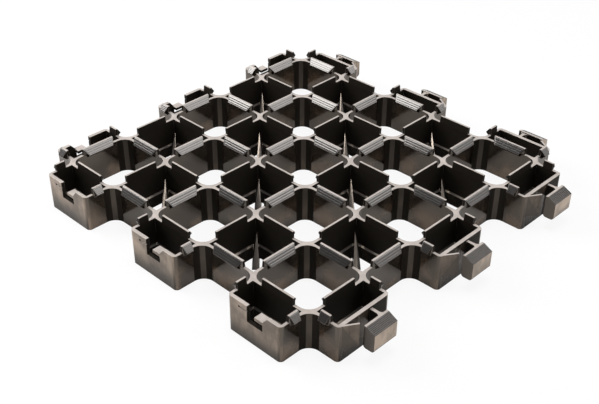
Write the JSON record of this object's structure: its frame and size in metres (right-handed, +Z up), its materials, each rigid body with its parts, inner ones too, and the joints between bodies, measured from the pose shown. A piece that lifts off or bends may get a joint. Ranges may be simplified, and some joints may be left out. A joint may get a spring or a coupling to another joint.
{
  "type": "grass paver grid",
  "caption": "Square black plastic grass paver grid of open cells with raised sloping wings on the walls, hooks on two edges and sockets on the other two.",
  "frame": {"origin": "under the middle of the overall outline, on the ground", "axes": "+Z up; +X and +Y along the grid's edges, towards the edges that carry the hooks"},
  "size_m": [0.4092, 0.4092, 0.044],
  "materials": {
    "black_plastic": "semi-gloss moulded"
  },
  "bodies": {
    "root": {"paver_grid": "black_plastic"}
  },
  "joints": []
}
